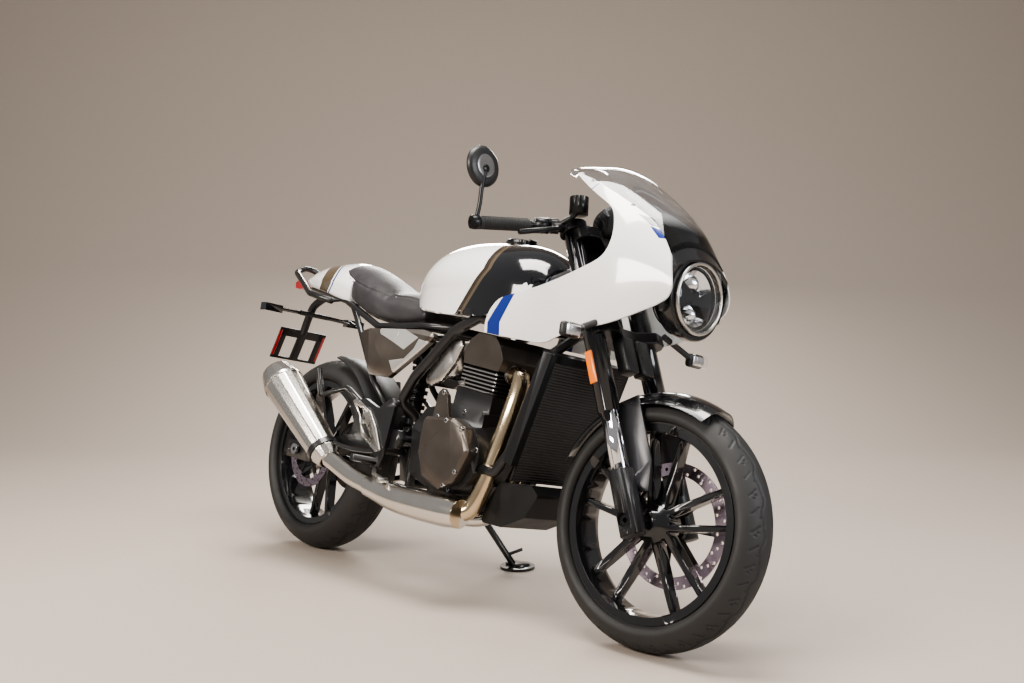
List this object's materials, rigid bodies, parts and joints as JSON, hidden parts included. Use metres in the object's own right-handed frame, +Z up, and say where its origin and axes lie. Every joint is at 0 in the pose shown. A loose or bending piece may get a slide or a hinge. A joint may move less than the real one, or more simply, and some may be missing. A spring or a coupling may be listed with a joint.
{
  "type": "cafe racer motorcycle",
  "caption": "Small cafe racer motorcycle leaning on its side stand, with a half fairing, clip-on bars, solo seat and low exhaust.",
  "frame": {"origin": "middle of the footprint box, on the floor, with the machine leaning on its side stand", "axes": "+X towards the front wheel, +Y to the machine's left, +Z up"},
  "size_m": [2.0033, 0.8074, 1.1883],
  "materials": {
    "tyre": "matt black rubber",
    "wheel_black": "gloss black paint on cast alloy",
    "disc_steel": "ground steel",
    "frame_black": "satin black paint",
    "fork_black": "gloss black anodised",
    "bright_steel": "hard chrome",
    "engine_black": "black powder coat",
    "engine_bronze": "bronze grey powder coat",
    "cast_silver": "satin silver casting",
    "exhaust_steel": "brushed stainless steel",
    "tank_paint": "gloss white with a black band",
    "body_white": "gloss white paint",
    "panel_bronze": "satin bronze grey",
    "seat_vinyl": "dark brown grey vinyl",
    "black_plastic": "black moulded plastic",
    "bar_black": "black anodised",
    "grip_rubber": "ribbed black rubber",
    "cap_metal": "black with a machined edge",
    "chain_steel": "oiled steel",
    "screen_clear": "clear moulded screen, lightly smoked",
    "lamp_clear": "clear lens",
    "indicator_clear": "clear lens over a bright bowl",
    "lamp_red": "red lens"
  },
  "bodies": {
    "front_wheel": {"front_tyre": "tyre", "front_rim": "wheel_black", "front_disc": "disc_steel"},
    "rear_wheel": {"rear_tyre": "tyre", "rear_rim": "wheel_black", "rear_disc": "disc_steel", "rear_sprocket": "disc_steel"},
    "steering": {"fork_yokes": "frame_black", "fork_tubes": "fork_black", "fork_stanchions": "bright_steel", "fork_legs": "frame_black", "front_axle": "bright_steel", "front_mudguard": "black_plastic", "handlebars": "bar_black", "hand_grips": "grip_rubber", "hand_levers": "bar_black", "mirrors": "bar_black", "instrument": "black_plastic", "front_caliper": "engine_black"},
    "chassis": {"main_frame": "frame_black", "rear_subframe": "frame_black", "swingarm": "frame_black", "rear_axle": "bright_steel", "shock_absorber": "frame_black", "rear_caliper": "engine_black", "crankcase": "engine_black", "clutch_cover": "engine_bronze", "left_engine_cover": "engine_bronze", "cylinder": "engine_black", "cylinder_head": "engine_black", "intake_cover": "cast_silver", "belly_guard": "black_plastic", "radiator": "engine_black", "exhaust_header": "exhaust_steel", "muffler": "exhaust_steel", "fuel_tank": "tank_paint", "seat": "seat_vinyl", "tail_cowl": "body_white", "grab_rail": "frame_black", "tail_light": "lamp_red", "number_plate": "black_plastic", "rear_indicators": "black_plastic", "fairing": "body_white", "windscreen": "screen_clear", "headlight": "black_plastic", "headlight_lens": "lamp_clear", "fairing_stay": "frame_black", "side_panels": "panel_bronze", "footrest_hangers": "cast_silver", "foot_controls": "cast_silver", "drive_chain": "chain_steel", "rear_mudguard": "black_plastic", "front_indicators": "indicator_clear"},
    "fuel_cap": {"fuel_cap": "cap_metal"},
    "side_stand": {"side_stand": "frame_black"}
  },
  "joints": [
    {"name": "steering", "type": "hinge", "parent": "chassis", "child": "steering", "pos_m": [0.43433, -0.04822, 0.81145], "axis": [-0.4138, 0.179, 0.8926], "range_deg": [-34.26, 27.74]},
    {"name": "front_wheel_spin", "type": "hinge", "parent": "steering", "child": "front_wheel", "pos_m": [0.70899, -0.15164, 0.28732], "axis": [-0.0518, 0.9743, -0.2194], "continuous": true},
    {"name": "rear_wheel_spin", "type": "hinge", "parent": "chassis", "child": "rear_wheel", "pos_m": [-0.66795, -0.15045, 0.30169], "axis": [0, 0.9805, -0.1966], "continuous": true},
    {"name": "stand_fold", "type": "hinge", "parent": "chassis", "child": "side_stand", "pos_m": [-0.08002, -0.03961, 0.20342], "axis": [0.2146, 0.8162, 0.5365], "range_deg": [0, 95]},
    {"name": "cap_lift", "type": "hinge", "parent": "chassis", "child": "fuel_cap", "pos_m": [0.14669, -0.0165, 0.96962], "axis": [0, 0.9805, -0.1966], "range_deg": [0, 95]}
  ]
}
